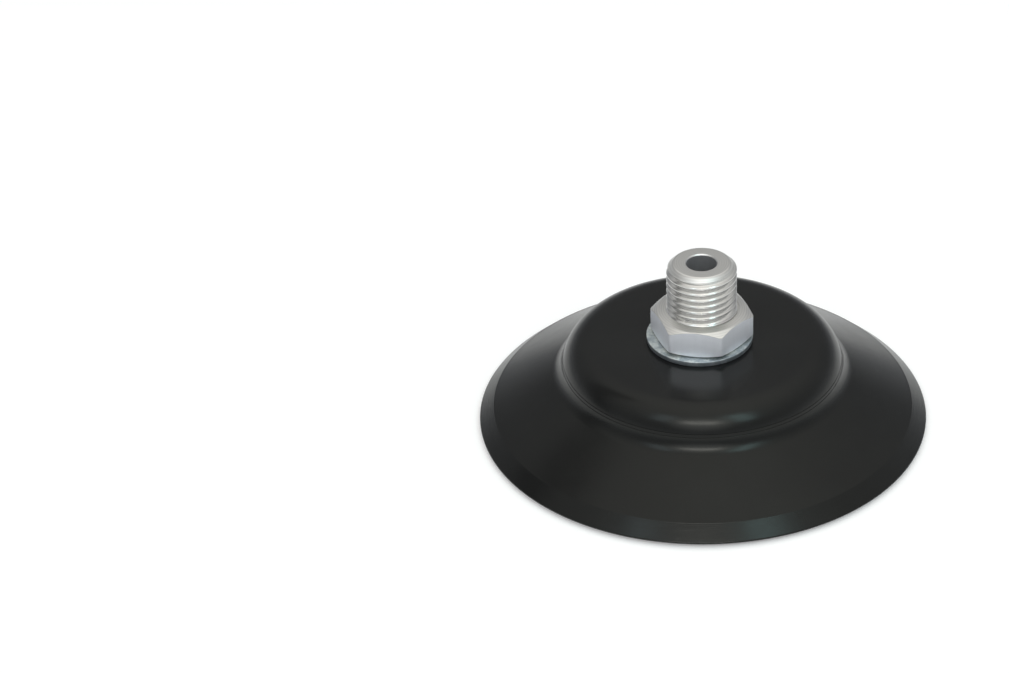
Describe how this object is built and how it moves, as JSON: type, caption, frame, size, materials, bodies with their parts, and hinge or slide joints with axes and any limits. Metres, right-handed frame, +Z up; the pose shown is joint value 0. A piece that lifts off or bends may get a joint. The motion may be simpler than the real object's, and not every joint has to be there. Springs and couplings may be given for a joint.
{
  "type": "flat vacuum cup",
  "caption": "Round flat vacuum cup: a conical rubber cup with raised arcs inside, clamped by a washer and round nut on a threaded nipple with a vacuum passage.",
  "frame": {"origin": "on the cup's axis, in the plane on which the lip stands", "axes": "+Z up along the nipple, from the lip to the thread; -Y towards the viewer of the picture"},
  "size_m": [0.085, 0.085, 0.0342],
  "materials": {
    "cup_rubber": "satin moulded black rubber",
    "nipple_aluminium": "turned, with drawn hexagon flats",
    "washer_steel": "bright zinc plate",
    "nut_aluminium": "turned, tool marks left on the face"
  },
  "bodies": {
    "root": {"rubber_cup": "cup_rubber", "threaded_nipple": "nipple_aluminium", "washer": "washer_steel", "clamp_nut": "nut_aluminium"}
  },
  "joints": []
}
